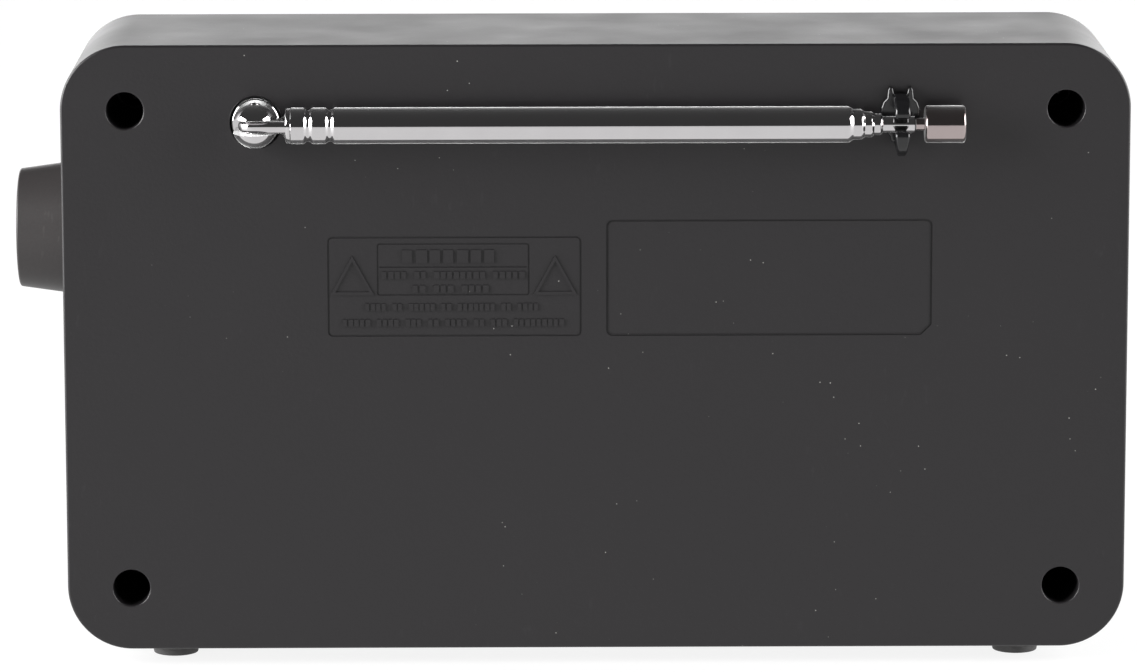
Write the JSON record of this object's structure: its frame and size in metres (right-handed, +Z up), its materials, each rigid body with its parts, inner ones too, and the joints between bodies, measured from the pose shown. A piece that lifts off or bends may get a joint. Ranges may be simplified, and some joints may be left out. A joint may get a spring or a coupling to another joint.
{
  "type": "tabletop radio",
  "caption": "Slim tabletop radio: rounded deep case, side tuning knob, front speaker and dial, telescopic antenna clipped along the back, corner screw wells and rubber feet.",
  "frame": {"origin": "middle of the whole object's box, on the plane under its feet", "axes": "+Z up; -Y is the front with the speaker and dial, +Y the back with the antenna; +X is the side with the tuning knob"},
  "size_m": [0.217, 0.0688, 0.1225],
  "materials": {
    "case_plastic": "fine matte moulded texture",
    "panel_plastic": "fine matte moulded texture",
    "gloss_black_plastic": "polished",
    "knob_plastic": "smooth satin",
    "grille_metal": "satin black paint",
    "chrome": "polished",
    "nickel": "bright nickel",
    "zinc_steel": "zinc plated",
    "foot_rubber": "matte",
    "clear_window": "clear polished",
    "dial_face": "matte print",
    "pointer_red": "satin",
    "speaker_paper": "pressed paper",
    "ferrite": "matte ceramic",
    "circuit_board": "phenolic board",
    "copper_winding": "lacquered winding",
    "nylon": "satin",
    "black_component": "moulded",
    "led_amber": "clear tinted"
  },
  "bodies": {
    "cabinet": {"antenna_bracket": "zinc_steel", "antenna_clip": "gloss_black_plastic", "band_switch_body": "black_component", "case_screw_1": "zinc_steel", "case_screw_2": "zinc_steel", "case_screw_3": "zinc_steel", "case_screw_4": "zinc_steel", "control_board": "circuit_board", "dial_scale": "dial_face", "dial_window": "clear_window", "earphone_socket": "black_component", "ferrite_coil": "copper_winding", "ferrite_holder_1": "nylon", "ferrite_holder_2": "nylon", "ferrite_rod": "ferrite", "foot_front_left": "foot_rubber", "foot_front_right": "foot_rubber", "foot_rear_left": "foot_rubber", "foot_rear_right": "foot_rubber", "front_panel": "panel_plastic", "intermediate_coil": "zinc_steel", "mains_inlet": "black_component", "mains_inlet_pin_1": "nickel", "mains_inlet_pin_2": "nickel", "power_board": "circuit_board", "power_led": "led_amber", "rear_shell": "case_plastic", "smoothing_capacitor": "black_component", "speaker_cone": "speaker_paper", "speaker_dust_cap": "speaker_paper", "speaker_frame": "zinc_steel", "speaker_grille": "grille_metal", "speaker_magnet": "ferrite", "speaker_screw_1": "zinc_steel", "speaker_screw_2": "zinc_steel", "speaker_screw_3": "zinc_steel", "speaker_screw_4": "zinc_steel", "transformer_bobbin": "copper_winding", "transformer_core": "zinc_steel", "tuner_board": "circuit_board", "tuning_bushing": "zinc_steel", "tuning_capacitor": "nylon", "volume_control": "zinc_steel"},
    "tuning_spindle": {"tuning_shaft": "nylon", "tuning_knob": "knob_plastic"},
    "capacitor_spindle": {"capacitor_gear": "nylon"},
    "pointer_carriage": {"dial_pointer": "pointer_red"},
    "volume_spindle": {"volume_knob": "knob_plastic", "volume_shaft": "nylon"},
    "band_slider": {"band_switch_knob": "knob_plastic"},
    "antenna_base": {"antenna_post": "chrome", "antenna_pivot_pin": "zinc_steel", "antenna_nut": "zinc_steel"},
    "antenna_arm": {"antenna_tongue": "chrome", "antenna_section_1": "chrome"},
    "antenna_stage_2": {"antenna_section_2": "chrome"},
    "antenna_stage_3": {"antenna_section_3": "chrome"},
    "antenna_stage_4": {"antenna_section_4": "chrome"},
    "antenna_stage_5": {"antenna_rod": "chrome", "antenna_tip": "nickel"}
  },
  "joints": [
    {"name": "tuning_knob_turn", "type": "hinge", "parent": "cabinet", "child": "tuning_spindle", "pos_m": [0.0985, -0.00035, 0.0832], "axis": [1, 0, 0], "range_deg": [-150, 150]},
    {"name": "capacitor_turn", "type": "hinge", "parent": "cabinet", "child": "capacitor_spindle", "pos_m": [0.0835, -0.00035, 0.0672], "axis": [1, 0, 0], "range_deg": [-90, 90]},
    {"name": "pointer_slide", "type": "slide", "parent": "cabinet", "child": "pointer_carriage", "axis": [0, 0, 1], "range_m": [-0.01575, 0.01575]},
    {"name": "volume_knob_turn", "type": "hinge", "parent": "cabinet", "child": "volume_spindle", "pos_m": [0.075, -0.02485, 0.032], "axis": [0, 1, 0], "range_deg": [-150, 150]},
    {"name": "band_switch_slide", "type": "slide", "parent": "cabinet", "child": "band_slider", "axis": [1, 0, 0], "range_m": [0, 0.005]},
    {"name": "antenna_swivel", "type": "hinge", "parent": "cabinet", "child": "antenna_base", "pos_m": [0.0607, 0.02415, 0.1075], "axis": [0, 1, 0], "range_deg": [0, 180]},
    {"name": "antenna_tilt", "type": "hinge", "parent": "antenna_base", "child": "antenna_arm", "pos_m": [0.0607, 0.02895, 0.1075], "axis": [0, 0, -1], "range_deg": [0, 90]},
    {"name": "antenna_slide_2", "type": "slide", "parent": "antenna_arm", "child": "antenna_stage_2", "axis": [-1, 0, 0], "range_m": [0, 0.088]},
    {"name": "antenna_slide_3", "type": "slide", "parent": "antenna_stage_2", "child": "antenna_stage_3", "axis": [-1, 0, 0], "range_m": [0, 0.088]},
    {"name": "antenna_slide_4", "type": "slide", "parent": "antenna_stage_3", "child": "antenna_stage_4", "axis": [-1, 0, 0], "range_m": [0, 0.088]},
    {"name": "antenna_slide_5", "type": "slide", "parent": "antenna_stage_4", "child": "antenna_stage_5", "axis": [-1, 0, 0], "range_m": [0, 0.088]}
  ],
  "couplings": [
    {"joint": "capacitor_turn", "follows": "tuning_knob_turn", "ratio": -0.6},
    {"joint": "pointer_slide", "follows": "tuning_knob_turn", "m_per_rad": -0.006}
  ]
}
